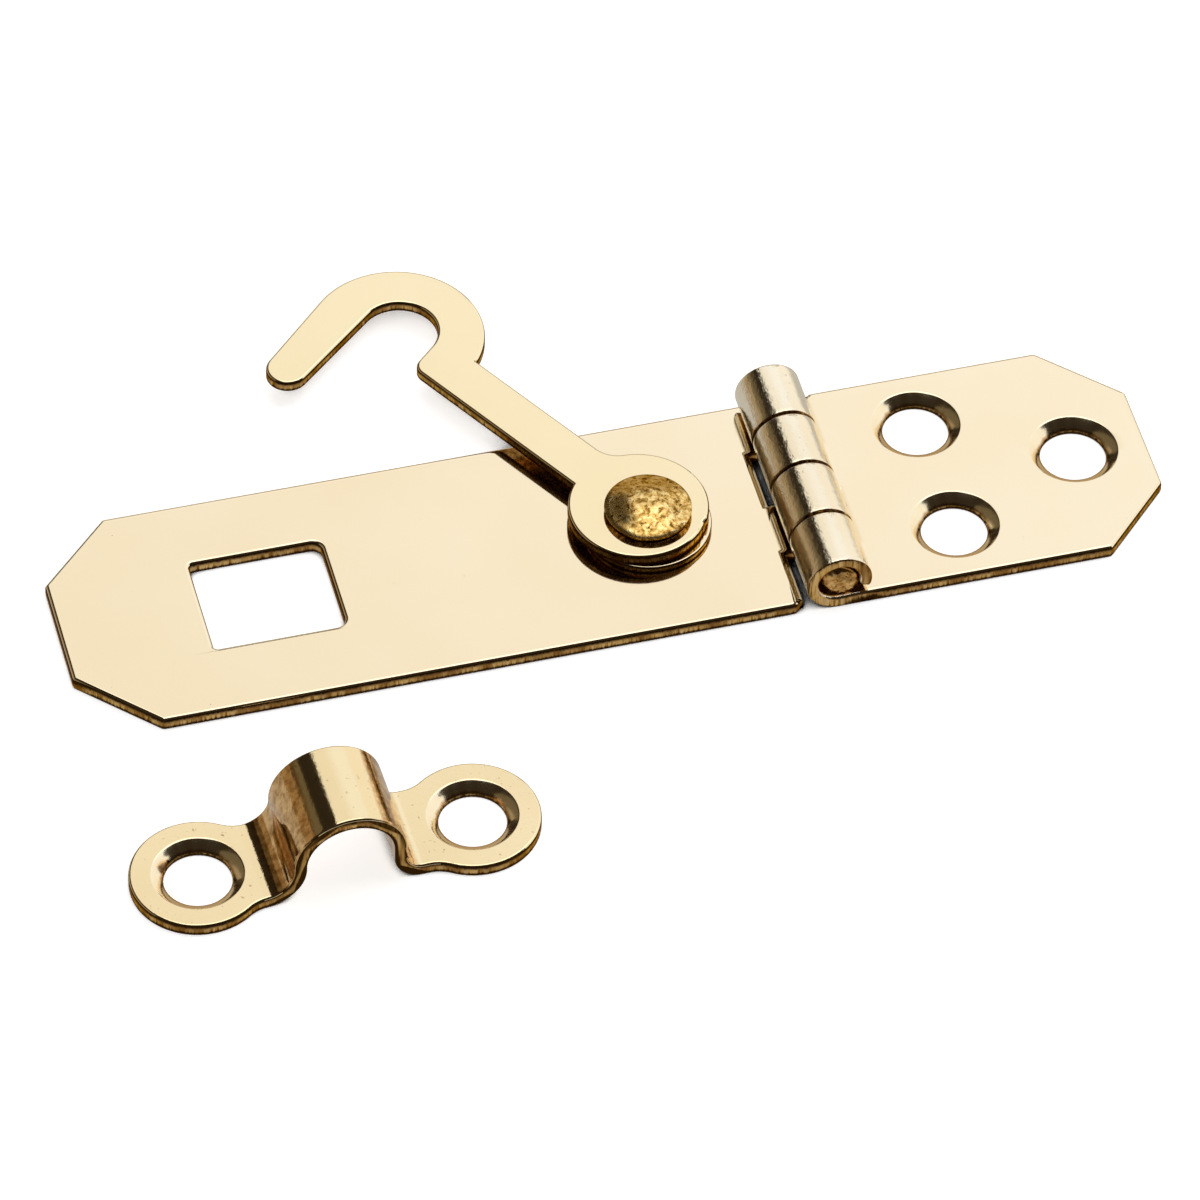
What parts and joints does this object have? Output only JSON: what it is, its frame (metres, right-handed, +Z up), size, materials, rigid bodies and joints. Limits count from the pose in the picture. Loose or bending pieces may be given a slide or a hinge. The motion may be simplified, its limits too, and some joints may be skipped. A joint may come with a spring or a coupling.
{
  "type": "hook hasp",
  "caption": "Sheet-metal hasp: a slotted strap hinged to a screw-on leaf, with a swinging hook on a rivet that passes through an arched staple to hold it shut.",
  "frame": {"origin": "on the mounting face, midway between the two screw holes next to the hinge", "axes": "+X along the hasp towards the leaf's free end, +Y across it towards the side that the stored hook points to, +Z up off the mounting face"},
  "size_m": [0.0769, 0.0543, 0.0069],
  "materials": {
    "strap": "polished",
    "leaf": "polished",
    "hinge_pin": "rough cut ends",
    "spacer": "polished",
    "rivet": "tarnished",
    "hook": "polished, sheared edges",
    "staple": "polished, sheared edges"
  },
  "bodies": {
    "leaf": {"leaf": "leaf", "hinge_pin": "hinge_pin", "staple": "staple"},
    "strap": {"strap": "strap", "spacer": "spacer", "rivet": "rivet"},
    "hook": {"hook": "hook"}
  },
  "joints": [
    {"name": "strap_hinge", "type": "hinge", "parent": "leaf", "child": "strap", "pos_m": [-0.0095, 0, 0.0023], "axis": [0, 1, 0], "range_deg": [-90, 178]},
    {"name": "hook_pivot", "type": "hinge", "parent": "strap", "child": "hook", "pos_m": [-0.0205, 0, 0.00198], "axis": [0, 0, 1], "range_deg": [-64, 182]}
  ]
}
